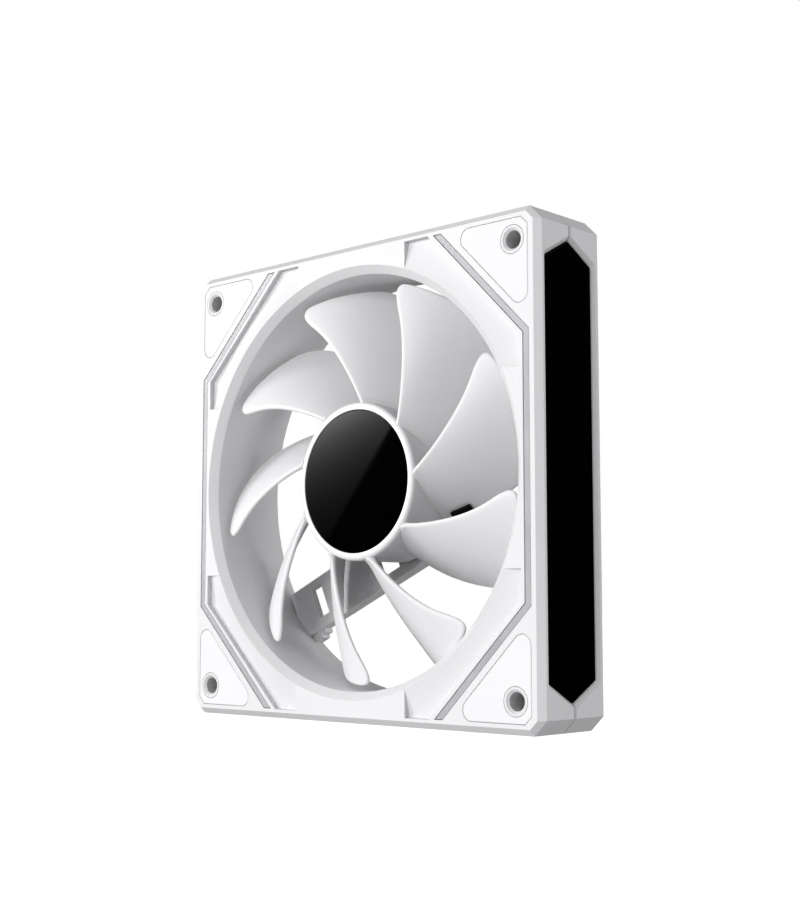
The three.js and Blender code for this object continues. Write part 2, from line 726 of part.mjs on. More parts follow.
function shaft() {
  const groove = SHAFT_R - 0.5;
  return turned(
    [
      [0, yokeFront + 0.1], [SHAFT_R, yokeFront + 0.1], [SHAFT_R, 19.6], [groove, 19.6],
      [groove, 20.2], [SHAFT_R, 20.2], [SHAFT_R, 20.5], [SHAFT_R - 0.3, 20.7], [0, 20.7],
    ],
    BEARING_SEGMENTS,
  );
}

const shaftClip = () => tube(SHAFT_R - 0.2, 2.6, 19.7, 20.1, SMALL_SEGMENTS);

// ---- Assembly ----

function named(name, solid, finish) {
  const mesh = new THREE.Mesh(toGeometry(solid), new THREE.MeshStandardMaterial(FINISH[finish]));
  mesh.name = name;
  return mesh;
}

function frameGroup() {
  const group = new THREE.Group();
  group.add(named("front_frame", frontFrame(), "whiteFrame"));
  group.add(named("rear_frame", rearFrame(), "whiteFrame"));
  for (const corner of CORNERS) {
    group.add(named("front_pad_" + corner.name, cornerPad(corner, false), "whitePad"));
    const rearPad = cornerPad({ x: -corner.x, z: corner.z }, true);
    group.add(named("rear_pad_" + corner.name, rearPad, "whitePad"));
    group.add(named("frame_screw_" + corner.name, frameScrew(corner), "steel"));
  }
  for (const side of SIDES) {
    group.add(named("light_strip_" + side.name, lightStrip(side), "diffuser"));
    group.add(named("strip_board_" + side.name, stripBoard(side), "board"));
    group.add(named("side_mirror_" + side.name, sideMirror(side), "mirror"));
    group.add(named("side_light_guide_" + side.name, sideGuide(side), "diffuser"));
    group.add(named("side_board_" + side.name, sideBoard(side), "board"));
  }
  return group;
}

function motorGroup() {
  const group = new THREE.Group();
  group.add(named("motor_cover", motorCover(), "whitePad"));
  group.add(named("channel_cover", channelCover(), "whiteFrame"));
  group.add(named("lead_strip", leadStrip(), "nylon"));
  group.add(named("power_socket", powerSocket(), "blackPlastic"));
  group.add(named("bearing_tube", bearingTube(), "brass"));
  group.add(named("sleeve_bearing", bearing(), "brass"));
  group.add(named("thrust_pad", thrustPad(), "nylon"));
  group.add(named("stator_core", statorCore(), "steel"));
  group.add(named("bobbin_front", bobbin(CORE_FRONT - GAP - BOBBIN_THICKNESS), "nylon"));
  group.add(named("bobbin_rear", bobbin(CORE_REAR + GAP), "nylon"));
  poleAngles.forEach((angle, i) => group.add(named("coil_" + (i + 1), coil(angle), "copper")));
  group.add(named("motor_board", motorBoard(), "board"));
  group.add(named("hall_sensor", hallSensor(), "blackPlastic"));
  return group;
}

function rotorGroup() {
  const group = new THREE.Group();
  group.add(named("impeller", impeller(), "whiteBlade"));
  group.add(named("balance_clip", balanceClip(), "blackPlastic"));
  group.add(named("hub_cap", hubCap(), "mirror"));
  group.add(named("rotor_yoke", rotorYoke(), "steel"));
  group.add(named("ring_magnet", ringMagnet(), "magnet"));
  group.add(named("shaft", shaft(), "steel"));
  group.add(named("shaft_clip", shaftClip(), "steel"));
  return group;
}

const caseFan = new THREE.Group();
caseFan.add(frameGroup(), motorGroup(), rotorGroup());
caseFan.position.set(0, -FRAME_DEPTH / 2, FRAME_HALF);

const root = new THREE.Group();
root.add(caseFan);

export default root;
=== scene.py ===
"""Looks for a white 120 mm case fan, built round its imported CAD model.

Fine pieces replace the nodes that show from outside; the motor inside keeps its CAD solids.
Shapes are drawn in millimetres in the fan's own frame: x to the right seen from the intake side,
depth from 0 at the front face to 25 at the rear face, z up from the fan's axis.
"""

import json
import math

import bmesh
import bpy
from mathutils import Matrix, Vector

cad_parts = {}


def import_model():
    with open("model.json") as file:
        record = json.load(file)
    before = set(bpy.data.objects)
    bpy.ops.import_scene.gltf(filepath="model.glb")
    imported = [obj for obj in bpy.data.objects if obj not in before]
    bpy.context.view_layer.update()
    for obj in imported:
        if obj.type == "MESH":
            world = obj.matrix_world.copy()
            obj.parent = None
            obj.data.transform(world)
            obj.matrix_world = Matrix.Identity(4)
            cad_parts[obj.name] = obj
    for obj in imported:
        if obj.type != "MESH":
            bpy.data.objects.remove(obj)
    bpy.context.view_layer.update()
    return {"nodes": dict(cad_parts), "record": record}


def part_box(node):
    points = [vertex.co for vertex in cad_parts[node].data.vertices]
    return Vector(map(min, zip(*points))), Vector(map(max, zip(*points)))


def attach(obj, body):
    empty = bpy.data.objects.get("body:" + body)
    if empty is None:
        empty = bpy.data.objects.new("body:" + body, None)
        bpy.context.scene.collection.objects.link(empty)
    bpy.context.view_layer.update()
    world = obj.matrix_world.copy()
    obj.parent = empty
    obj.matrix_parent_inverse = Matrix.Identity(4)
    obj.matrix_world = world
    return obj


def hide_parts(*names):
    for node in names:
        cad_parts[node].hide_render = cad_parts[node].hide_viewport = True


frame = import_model()

# ---------------------------------------------------------------- dimensions, in millimetres

MM = 0.001
FRONT_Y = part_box("front_frame")[0].y
REAR_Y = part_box("rear_frame")[1].y
AXIS_Z = frame["record"]["behaviour"]["joints"][0]["pos_m"][2]

FRAME_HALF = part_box("front_frame")[1].x / MM
FRAME_DEPTH = (REAR_Y - FRONT_Y) / MM
SEAM_FRONT = (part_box("front_frame")[1].y - FRONT_Y) / MM
SEAM_REAR = (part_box("rear_frame")[0].y - FRONT_Y) / MM
CORNER_CHAMFER = 3.5
FRONT_BEVEL = 1.5
REAR_BEVEL = 2.0
SEAM_VEE = 0.62
SEAM_VEE_SHORT = 3.4
TONGUE_INSET = 1.0
TONGUE_OVERLAP = 0.5
TONGUE_SHORT = 0.02
GAP = 0.3
FINE_GAP = 0.06

DUCT_R = 52.3
DUCT_LIP_R = 54.3
DUCT_LIP_DEPTH = 2.0
DUCT_FLARE_START = 13.0
DUCT_EXIT_R = 53.7
FLARE_STEPS = 12
ROUND_STEPS = 288
SMALL_STEPS = 64

MOUNT_PLACE = 52.5
MOUNT_HOLE_R = 2.15
MOUNT_BOSS_R = 3.35
COUNTERSINK_R = 2.7

PAD_EDGE_X = 57.0
PAD_EDGE_Z = 57.5
PAD_CORNER_CUT = 1.9
PAD_DIAGONAL = 90.8
PAD_CORNER_R = 2.6
PAD_THICKNESS = 1.3
PAD_EDGE = 0.14
PAD_CORNER_STEPS = 14

POCKET = [(19, 57.7), (26.5, 57.7), (54.2, 30.7), (54.2, 23), (30, 23), (19, 40)]
POCKET_DEPTH = 1.35
POCKET_FLAT_R = 59.8

STRIP_INNER_X = 55.3
STRIP_OUTER_X = 57.1
STRIP_INNER_DIAGONAL = 85.9
STRIP_OUTER_DIAGONAL = 88.4
STRIP_END_Z = 57.6
STRIP_GROOVE_DEPTH = 2.7
STRIP_FRONT = 0.1
STRIP_THICKNESS = 1.2

SIDE_MID_DEPTH = 12.2
SIDE_RIM_HALF = 9.9
SIDE_RIM_SHOULDER = 49.0
SIDE_RIM_APEX = 54.4
SIDE_BEVEL = 1.0
SIDE_RECESS = 4.2
MIRROR_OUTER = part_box("side_mirror_right")[1].x / MM
MIRROR_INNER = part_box("side_mirror_right")[0].x / MM

HUB_R = 20.0
HUB_FRONT = 2.0
HUB_REAR = 18.5
HUB_WALL = 1.2
HUB_FACE_WALL = 1.7
HUB_EDGE = 0.9
HUB_SEAT_EDGE = 0.12
CAP_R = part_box("hub_cap")[1].x / MM
CAP_FRONT = (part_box("hub_cap")[0].y - FRONT_Y) / MM
CAP_REAR = (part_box("hub_cap")[1].y - FRONT_Y) / MM

BLADE_COUNT = 9
BLADE_TIP_R = 50.8
BLADE_ROOT_RADII = (19.5, 19.8, 20.1, 20.5, 21.0, 21.6)
BLADE_PLAIN_R = 22.4
BLADE_HALF_THICKNESS = 0.65
BLADE_TAIL_SHARE = 0.5
BLADE_NOSE_SHARE = 0.06
BLADE_TAIL_ROUND_SHARE = 0.02
BLADE_ROOT_SWELL = 0.9
BLADE_ROOT_FADE = 0.8
BLADE_TIP_ROUND = 0.35
BLADE_CORNER_R = 6.6
BLADE_TIP_CHORD = 30.0
# Polynomials of the span, which is 0 at the hub and 1 near the tip: angles of the blade's two
# edges in degrees, depths of both edges, and the bow of its chord.
BLADE_SPAN = 30.0
LEADING_ANGLE = (85.94, 49.23, -40.09, 23.89, -1.39)
TRAILING_ANGLE = (51.31, 56.49, -36.66, 25.47, -10.33)
LEADING_DEPTH = (2.6, -0.65, 1.58)
TRAILING_DEPTH = (17.9, 4.12, -2.75)
CHORD_BOW = (7.36, 6.47)
CHORD_STEPS = 40
SPAN_STEPS = 24
TIP_STEPS = 14

MOTOR_BASE_R = 21.3
MOTOR_BASE_FRONT = 20.9
MOTOR_BASE_REAR = 24.8
STRUT_ANGLE = 204.5
STRUT_OUTER_EDGE = 21.0
STRUT_INNER_EDGE = 16.0
CHANNEL_INNER_EDGE = 7.6
CHANNEL_WALL = 1.2
CHANNEL_FLOOR = 1.4
TRENCH_FROM, TRENCH_END = 10.0, 46.0
SLOT_FROM, SLOT_TO = 39.0, 42.8
SLOT_LOW, SLOT_HIGH = 10.0, 18.2
WINDOW_FROM, WINDOW_TO = 10.4, 17.2
WINDOW_MARGIN = 1.5
STRUT_INTO_RING = 1.5
STRUT_EDGE = 0.7
CHANNEL_EDGE = 0.25
TOOTH_FROM, TOOTH_TO = 43.5, 49.5
TOOTH_EDGE = 0.15
TUBE_SEAT_R = 4.9
TUBE_SEAT_FRONT, TUBE_SEAT_REAR = 19.9, 23.2
COVER_WELL_R = 19.2
COVER_WELL_DEPTH = 0.8
REAR_CAP_R = 18.9
REAR_CAP_THICKNESS = 0.5
LABEL_SEAT_RIM_R = 16.9
LABEL_SEAT_R = 16.7
LABEL_SEAT_DEPTH = 0.14
SCREW_PLACE = 47.5
SCREW_R = 1.2
SCREW_HEAD_R = 2.1
PILOT_FROM, PILOT_TO = 5.5, 14
SCREW_WELL_FROM = 11
SCREW_SEAT = 21.4
SCREW_WELL_RIM = 24.8
# How far a cutting shape runs past the face it cuts, and half the width of one wider than the fan.
BEYOND = 1
WIDE = 70

CORNERS = [("top_left", -1, 1), ("top_right", 1, 1),
           ("bottom_left", -1, -1), ("bottom_right", 1, -1)]
SIDES = [("left", -1), ("right", 1)]

# ---------------------------------------------------------------- camera

LENS_MM = 57.55
SENSOR_MM = 36
CAMERA_PLACE = (0.25696, -0.27084, 0.02784)
CAMERA_TILT = math.radians(95.97)
CAMERA_TURN = math.radians(42.83)

camera_data = bpy.data.cameras.new("Camera")
camera_data.lens = LENS_MM
camera_data.sensor_width = SENSOR_MM
camera_data.clip_start = 0.01
camera = bpy.data.objects.new("Camera", camera_data)
camera.location = CAMERA_PLACE
camera.rotation_euler = (CAMERA_TILT, 0, CAMERA_TURN)
bpy.context.scene.collection.objects.link(camera)
bpy.context.scene.camera = camera

# ---------------------------------------------------------------- mesh helpers


def place(point):
    """A fan-frame point in millimetres as a row-frame point in metres."""
    x, depth, z = point
    return (x * MM, FRONT_Y + depth * MM, AXIS_Z + z * MM)


def solid(name, points, faces):
    """A closed mesh object with its faces turned outwards."""
    mesh = bpy.data.meshes.new(name)
    mesh.from_pydata([place(p) for p in points], [], faces)
    work = bmesh.new()
    work.from_mesh(mesh)
    bmesh.ops.remove_doubles(work, verts=work.verts, dist=1e-7)
    bmesh.ops.recalc_face_normals(work, faces=work.faces)
    work.to_mesh(mesh)
    work.free()
    piece = bpy.data.objects.new(name, mesh)
    bpy.context.scene.collection.objects.link(piece)
    return piece


def layered(name, layers):
    """Outlines of equal length, each a list of 3-D points, skinned one to the next and capped."""
    count = len(layers[0])
    points = [p for layer in layers for p in layer]
    faces = [list(range(count)), list(range(len(points) - count, len(points)))]
    for layer in range(len(layers) - 1):
        for i in range(count):
            a = layer * count + i
            b = layer * count + (i + 1) % count
            faces.append([a, b, b + count, a + count])
    return solid(name, points, faces)


def prism(name, steps):
    """A plate cut square to the axis: steps are (outline of (x, z) points, depth)."""
    return layered(name, [[(x, depth, z) for x, z in outline] for outline, depth in steps])


def turned(name, profile, steps=ROUND_STEPS, x=0.0, z=0.0):
    """A solid turned about the fan's axis, or one parallel to it, from (radius, depth) points."""
    points, rings = [], []
    for radius, depth in profile:
        if radius < 1e-6:
            rings.append([len(points)] * steps)
            points.append((x, depth, z))
            continue
        rings.append(list(range(len(points), len(points) + steps)))
        for i in range(steps):
            angle = 2 * math.pi * i / steps
            points.append((x + radius * math.cos(angle), depth, z + radius * math.sin(angle)))
    faces = []
    for k in range(len(profile)):
        near, far = rings[k], rings[(k + 1) % len(profile)]
        for i in range(steps):
            j = (i + 1) % steps
            loop = [near[i], near[j], far[j], far[i]]
            corners = [v for n, v in enumerate(loop) if v != loop[n - 1]]
            if len(set(corners)) > 2:
                faces.append(corners)
    return solid(name, points, faces)


def box(name, x0, x1, d0, d1, z0, z1):
    return prism(name, [([(x0, z0), (x1, z0), (x1, z1), (x0, z1)], d) for d in (d0, d1)])


def settle(piece):
    """Turns a piece's modifiers into its mesh."""
    bpy.context.view_layer.update()
    graph = bpy.context.evaluated_depsgraph_get()
    made = bpy.data.meshes.new_from_object(piece.evaluated_get(graph))
    piece.modifiers.clear()
    old = piece.data
    piece.data = made
    bpy.data.meshes.remove(old)
    made.name = piece.name
    return piece


def combined(piece, tools, operation):
    for tool in tools:
        step = piece.modifiers.new("boolean", "BOOLEAN")
        step.operation = operation
        step.solver = "MANIFOLD"
        step.object = tool
    settle(piece)
    for tool in tools:
        bpy.data.objects.remove(tool)
    return piece


def cut(piece, tools):
    return combined(piece, tools, "DIFFERENCE")


def joined(piece, others):
    return combined(piece, others, "UNION")


def smooth(piece, angle=24):
    """Smooth shading with creases where faces meet at more than the angle."""
    for face in piece.data.polygons:
        face.use_smooth = True
    piece.data.set_sharp_from_angle(angle=math.radians(angle))
    return piece


def finished(piece, material, body, slot, *replaced):
    """Gives a piece its material and body, and puts it in place of CAD nodes; the slot is not used.
    """
    piece.data.materials.clear()
    piece.data.materials.append(material)
    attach(piece, body)
    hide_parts(*replaced)
    return piece


# ---------------------------------------------------------------- materials


def new_material(name, color, roughness, metallic=0.0, ior=1.46):
    material = bpy.data.materials.new(name)
    material.use_nodes = True
    shader = material.node_tree.nodes["Principled BSDF"]
    shader.inputs["Base Color"].default_value = (*color, 1)
    shader.inputs["Roughness"].default_value = roughness
    shader.inputs["Metallic"].default_value = metallic
    shader.inputs["IOR"].default_value = ior
    return material, shader


def object_place(tree, scale=(1, 1, 1)):
    """The object's own coordinates, stretched by scale."""
    where = tree.nodes.new("ShaderNodeTexCoord")
    mapping = tree.nodes.new("ShaderNodeMapping")
    mapping.inputs["Scale"].default_value = scale
    tree.links.new(where.outputs["Object"], mapping.inputs["Vector"])
    return mapping.outputs["Vector"]


def noise(tree, vector, per_metre, detail=3.0, rough=0.55):
    node = tree.nodes.new("ShaderNodeTexNoise")
    node.inputs["Scale"].default_value = per_metre
    node.inputs["Detail"].default_value = detail
    node.inputs["Roughness"].default_value = rough
    tree.links.new(vector, node.inputs["Vector"])
    return node.outputs["Fac"]


def ramp(tree, factor, low, high, start=0.3, end=0.7):
    """A colour that runs from low to high as the factor runs from start to end."""
    node = tree.nodes.new("ShaderNodeValToRGB")
    node.color_ramp.elements[0].position = start
    node.color_ramp.elements[0].color = (*low, 1)
    node.color_ramp.elements[1].position = end
    node.color_ramp.elements[1].color = (*high, 1)
    tree.links.new(factor, node.inputs["Fac"])
    return node.outputs["Color"]


def spread(tree, factor, low, high):
    """A number that runs from low to high as the factor runs from 0.25 to 0.75."""
    node = tree.nodes.new("ShaderNodeMapRange")
    node.inputs["From Min"].default_value = 0.25
    node.inputs["From Max"].default_value = 0.75
    node.inputs["To Min"].default_value = low
    node.inputs["To Max"].default_value = high
    tree.links.new(factor, node.inputs["Value"])
    return node.outputs["Result"]


def bump(tree, height, shader, strength, distance):
    node = tree.nodes.new("ShaderNodeBump")
    node.inputs["Strength"].default_value = strength
    node.inputs["Distance"].default_value = distance * MM
    tree.links.new(height, node.inputs["Height"])
    tree.links.new(node.outputs["Normal"], shader.inputs["Normal"])


def moulded(name, color, roughness, grain=2600, grain_depth=0.02, tone=0.012):
    """Moulded plastic: a fine spark-eroded grain, slow tone drift and uneven gloss."""
    material, shader = new_material(name, color, roughness)
    tree = material.node_tree
    where = object_place(tree)
    drift = noise(tree, where, per_metre=22, detail=2)
    low = [max(0.0, c - tone) for c in color]
    high = [min(1.0, c + tone) for c in color]
    tree.links.new(ramp(tree, drift, low, high), shader.inputs["Base Color"])
    gloss = noise(tree, where, per_metre=160, detail=4)
    uneven = spread(tree, gloss, roughness - 0.05, roughness + 0.06)
    tree.links.new(uneven, shader.inputs["Roughness"])
    fine = noise(tree, where, per_metre=grain, detail=2, rough=0.6)
    bump(tree, fine, shader, strength=0.35, distance=grain_depth)
    return material


def metal(name, color, roughness, stretch=(1, 1, 1), grain=900):
    """Machined or stamped metal with a directional grain and slightly uneven colour."""
    material, shader = new_material(name, color, roughness, metallic=1.0)
    tree = material.node_tree
    where = object_place(tree, stretch)
    lines = noise(tree, where, per_metre=grain, detail=3, rough=0.6)
    low = [c * 0.86 for c in color]
    tree.links.new(ramp(tree, lines, low, color), shader.inputs["Base Color"])
    brushed = spread(tree, lines, roughness - 0.08, roughness + 0.1)
    tree.links.new(brushed, shader.inputs["Roughness"])
    bump(tree, lines, shader, strength=0.3, distance=0.01)
    return material


def mirror_black():
    """Gloss-black glass-like panel: near black, very smooth, with faint haze."""
    material, shader = new_material("black_mirror", (0.0035, 0.0035, 0.0038), 0.03, ior=1.5)
    tree = material.node_tree
    where = object_place(tree)
    haze = noise(tree, where, per_metre=90, detail=3)
    tree.links.new(spread(tree, haze, 0.022, 0.04), shader.inputs["Roughness"])
    tint = ramp(tree, haze, (0.003, 0.003, 0.0033), (0.0042, 0.0042, 0.0046))
    tree.links.new(tint, shader.inputs["Base Color"])
    return material


def diffuser():
    """Milky light guide with fine cross ribs."""
    material, shader = new_material("diffuser", (0.59, 0.59, 0.60), 0.38, ior=1.49)
    tree = material.node_tree
    where = object_place(tree)
    cloud = noise(tree, where, per_metre=120, detail=2)
    milk = ramp(tree, cloud, (0.56, 0.56, 0.57), (0.61, 0.61, 0.62))
    tree.links.new(milk, shader.inputs["Base Color"])
    ribs = tree.nodes.new("ShaderNodeTexWave")
    ribs.wave_type = "BANDS"
    ribs.bands_direction = "Z"
    ribs.inputs["Scale"].default_value = 420
    ribs.inputs["Distortion"].default_value = 0
    tree.links.new(where, ribs.inputs["Vector"])
    bump(tree, ribs.outputs["Fac"], shader, strength=0.18, distance=0.05)
    shader.inputs["Subsurface Weight"].default_value = 0.15
    shader.inputs["Subsurface Radius"].default_value = (0.0008, 0.0008, 0.0008)
    return material


def circuit_board():
    """Solder mask over copper tracks."""
    material, shader = new_material("circuit_board", (0.012, 0.06, 0.03), 0.35, ior=1.5)
    tree = material.node_tree
    where = object_place(tree)
    brick = tree.nodes.new("ShaderNodeTexBrick")
    brick.inputs["Scale"].default_value = 420
    brick.inputs["Color1"].default_value = (0.012, 0.06, 0.03, 1)
    brick.inputs["Color2"].default_value = (0.018, 0.085, 0.04, 1)
    brick.inputs["Mortar"].default_value = (0.03, 0.14, 0.06, 1)
    brick.inputs["Mortar Size"].default_value = 0.05
    tree.links.new(where, brick.inputs["Vector"])
    tree.links.new(brick.outputs["Color"], shader.inputs["Base Color"])
    fine = noise(tree, where, per_metre=1500, detail=2)
    tree.links.new(spread(tree, fine, 0.3, 0.45), shader.inputs["Roughness"])
    bump(tree, brick.outputs["Fac"], shader, strength=0.3, distance=0.03)
    return material


def wound_copper():
    """Enamelled wire laid side by side."""
    material, shader = new_material("wound_copper", (0.62, 0.25, 0.11), 0.3, metallic=1.0)
    tree = material.node_tree
    where = object_place(tree)
    wire = tree.nodes.new("ShaderNodeTexWave")
    wire.wave_type = "BANDS"
    wire.bands_direction = "DIAGONAL"
    wire.inputs["Scale"].default_value = 900
    wire.inputs["Distortion"].default_value = 0.6
    tree.links.new(where, wire.inputs["Vector"])
    turn = wire.outputs["Fac"]
    tint = ramp(tree, turn, (0.36, 0.13, 0.05), (0.7, 0.3, 0.13), start=0.1, end=0.8)
    tree.links.new(tint, shader.inputs["Base Color"])
    tree.links.new(spread(tree, turn, 0.4, 0.25), shader.inputs["Roughness"])
    bump(tree, turn, shader, strength=0.6, distance=0.1)
    return material


white_frame = moulded("white_frame", (0.81, 0.81, 0.815), 0.5)
white_pad = moulded("white_pad", (0.84, 0.84, 0.845), 0.68, grain=1800, grain_depth=0.03)
white_blade = moulded("white_blade", (0.83, 0.83, 0.835), 0.42, grain=3200, grain_depth=0.008)
black_mirror = mirror_black()
milky = diffuser()
board = circuit_board()
steel = metal("steel", (0.56, 0.57, 0.58), 0.35, (1, 8, 1))
magnet = moulded("magnet", (0.018, 0.018, 0.02), 0.6, grain=1400, tone=0.004)
brass = metal("brass", (0.72, 0.5, 0.2), 0.35, (1, 10, 1))
copper = wound_copper()
black_plastic = moulded("black_plastic", (0.012, 0.012, 0.013), 0.45, grain=2200, tone=0.003)
nylon = moulded("nylon", (0.72, 0.69, 0.6), 0.55, grain=1500, tone=0.02)

KEPT = {
    "white_frame": (white_frame, ["channel_cover"]),
    "diffuser": (milky, ["side_light_guide_left", "side_light_guide_right"]),
    "circuit_board": (board, ["motor_board", "strip_board_left", "strip_board_right",
                              "side_board_left", "side_board_right"]),
    "steel": (steel, ["stator_core", "rotor_yoke", "shaft", "shaft_clip"]
              + ["frame_screw_" + name for name, _, _ in CORNERS]),
    "magnet": (magnet, ["ring_magnet"]),
    "brass": (brass, ["bearing_tube", "sleeve_bearing"]),
    "copper": (copper, ["coil_1", "coil_2", "coil_3", "coil_4"]),
    "black_plastic": (black_plastic, ["power_socket", "balance_clip", "hall_sensor"]),
    "nylon": (nylon, ["lead_strip", "thrust_pad", "bobbin_front", "bobbin_rear"]),
}
for slot_name, (material, kept_nodes) in KEPT.items():
    for node in kept_nodes:
        for held in frame["nodes"][node].material_slots:
            held.material = material

# ---------------------------------------------------------------- outlines


def flipped(points, sx, sz):
    return [(x * sx, z * sz) for x, z in points]


def square_outline(inset):
    """The frame's square with cut corners."""
    half = FRAME_HALF - inset
    near = half - (CORNER_CHAMFER - inset)
    return [(half, -near), (half, near), (near, half), (-near, half),
            (-half, near), (-half, -near), (-near, -half), (near, -half)]


def pad_outline(inset, sx, sz):
    """A corner pad, shrunk all round by inset, its acute ends rounded."""
    x = PAD_EDGE_X - inset
    z = PAD_EDGE_Z - inset
    diagonal = PAD_DIAGONAL + inset * math.sqrt(2)
    cut_off = PAD_CORNER_CUT - inset * (2 - math.sqrt(2))
    r = PAD_CORNER_R - inset
    reach = r / math.tan(math.radians(22.5))
    points = [(x - cut_off, z), (x, z - cut_off)]
    for cx, cz, start in ((x - r, diagonal - x + reach, 0), (diagonal - z + reach, z - r, 225)):
        for step in range(PAD_CORNER_STEPS + 1):
            angle = math.radians(start - 135 * step / PAD_CORNER_STEPS)
            points.append((cx + r * math.cos(angle), cz + r * math.sin(angle)))
    return flipped(points, sx, sz)


def offset_outline(points, grow):
    """A polygon moved outwards by grow all round, with mitred corners."""
    area = sum(a[0] * b[1] - b[0] * a[1] for a, b in zip(points, points[1:] + points[:1]))
    turn = 1 if area > 0 else -1
    made = []
    for i, here in enumerate(points):
        before = Vector(here) - Vector(points[i - 1])
        after = Vector(points[(i + 1) % len(points)]) - Vector(here)
        n0 = Vector((before.y, -before.x)).normalized() * turn
        n1 = Vector((after.y, -after.x)).normalized() * turn
        mitre = (n0 + n1) / (1 + n0.dot(n1))
        made.append((here[0] + mitre.x * grow, here[1] + mitre.y * grow))
    return made


def strip_outline(inset, sx):
    inner = STRIP_INNER_X + inset
    outer = STRIP_OUTER_X - inset
    inner_sum = STRIP_INNER_DIAGONAL + inset * math.sqrt(2)
    outer_sum = STRIP_OUTER_DIAGONAL - inset * math.sqrt(2)
    end = STRIP_END_Z - inset
    half = [(outer, outer_sum - outer), (outer_sum - end, end),
            (inner_sum - end, end), (inner, inner_sum - inner)]
    other = [(x, -z) for x, z in reversed(half)]
    return flipped(half + other, sx, 1)


def side_outline(inset):
    """The elongated hexagon of the side panels as (depth, z) points."""
    half = SIDE_RIM_HALF - inset
    shoulder = SIDE_RIM_SHOULDER - inset * 0.6
    apex = SIDE_RIM_APEX - inset * 1.15
    mid = SIDE_MID_DEPTH
    return [(mid - half, -shoulder), (mid, -apex), (mid + half, -shoulder),
            (mid + half, shoulder), (mid, apex), (mid - half, shoulder)]


def side_slab(name, sx, steps):
    """A hexagonal slab on one side: steps are (distance from the axis, inset)."""
    return layered(name, [[(x * sx, depth, z) for depth, z in side_outline(inset)]
                          for x, inset in steps])


def strut_point(quarter, along, across, depth):
    """A point in a strut's own directions, along it and across it, as a fan-frame point."""
    angle = math.radians(STRUT_ANGLE + 90 * quarter)
    c, s = math.cos(angle), math.sin(angle)
    return (along * c - across * s, depth, along * s + across * c)


def bar(name, quarter, run, sides, depths, edge=0.0):
    """A straight bar with cut edges, from run[0] to run[1] along a strut's direction."""
    (low, high), (front, rear), e = sides, depths, edge
    if e:
        section = [(low + e, front), (high - e, front), (high, front + e), (high, rear - e),
                   (high - e, rear), (low + e, rear), (low, rear - e), (low, front + e)]
    else:
        section = [(low, front), (high, front), (high, rear), (low, rear)]
    return layered(name, [[strut_point(quarter, along, across, depth) for across, depth in section]
                          for along in run])


# ---------------------------------------------------------------- frame halves


def duct_cutter():
    """The air duct: rounded lip bevel, straight throat and a smooth flare to the rear."""
    profile = [(0, -BEYOND), (DUCT_LIP_R + 0.9, -BEYOND), (DUCT_LIP_R + 0.12, -0.02),
               (DUCT_LIP_R + 0.03, 0.05), (DUCT_R + 0.12, DUCT_LIP_DEPTH - 0.14),
               (DUCT_R, DUCT_LIP_DEPTH + 0.16)]
    flare = FRAME_DEPTH - DUCT_FLARE_START
    for step in range(FLARE_STEPS + 1):
        share = step / FLARE_STEPS
        ease = share * share * (1.6 - 0.6 * share)
        profile.append((DUCT_R + (DUCT_EXIT_R - DUCT_R) * ease, DUCT_FLARE_START + flare * share))
    profile += [(DUCT_EXIT_R + 0.15, FRAME_DEPTH + BEYOND), (0, FRAME_DEPTH + BEYOND)]
    return turned("duct_cutter", profile)


def turn_over(depth):
    return FRAME_DEPTH - depth


def corner_cutters(sx, sz, rear):
    """The pad recess round the screw boss, the screw hole and the sloping pocket of a corner."""
    side = turn_over if rear else (lambda depth: depth)
    x, z = MOUNT_PLACE * sx, MOUNT_PLACE * sz
    floor = PAD_THICKNESS + GAP
    recess = prism("recess", [(pad_outline(-0.6, sx, sz), side(-0.6)),
                              (pad_outline(-0.08, sx, sz), side(0.0)),
                              (pad_outline(0, sx, sz), side(0.1)),
                              (pad_outline(0, sx, sz), side(floor))])
    boss = turned("boss", [(0, side(-2)), (MOUNT_BOSS_R - 1, side(-2)),
                           (MOUNT_BOSS_R - 0.1, side(0)), (MOUNT_BOSS_R, side(0.1)),
                           (MOUNT_BOSS_R, side(floor + 1)), (0, side(floor + 1))],
                  SMALL_STEPS, x, z)
    cut(recess, [boss])
    seat = COUNTERSINK_R - MOUNT_HOLE_R
    hole = turned("hole", [(0, side(-1)), (COUNTERSINK_R + 1.08, side(-1)),
                           (COUNTERSINK_R + 0.08, side(0)), (MOUNT_HOLE_R, side(seat)),
                           (MOUNT_HOLE_R, side(SEAM_FRONT + 1)), (0, side(SEAM_FRONT + 1))],
                  SMALL_STEPS, x, z)
    slope = turned("slope", [(DUCT_LIP_R, side(-1)), (DUCT_LIP_R, side(0)),
                             (POCKET_FLAT_R, side(POCKET_DEPTH)), (90, side(POCKET_DEPTH)),
                             (90, side(-1))])
    outline = flipped(POCKET, sx, sz)
    pocket = prism("pocket", [(offset_outline(outline, 1.1), side(-1)),
                              (offset_outline(outline, 0.1), side(0)),
                              (outline, side(0.12)), (outline, side(3))])
    combined(pocket, [slope], "INTERSECT")
    return [recess, hole, pocket]


def side_recess(sx):
    return side_slab("side_recess", sx, [
        (FRAME_HALF - SIDE_RECESS, SIDE_BEVEL), (FRAME_HALF - SIDE_BEVEL, SIDE_BEVEL),
        (FRAME_HALF, 0), (FRAME_HALF + 0.5, -0.5)])


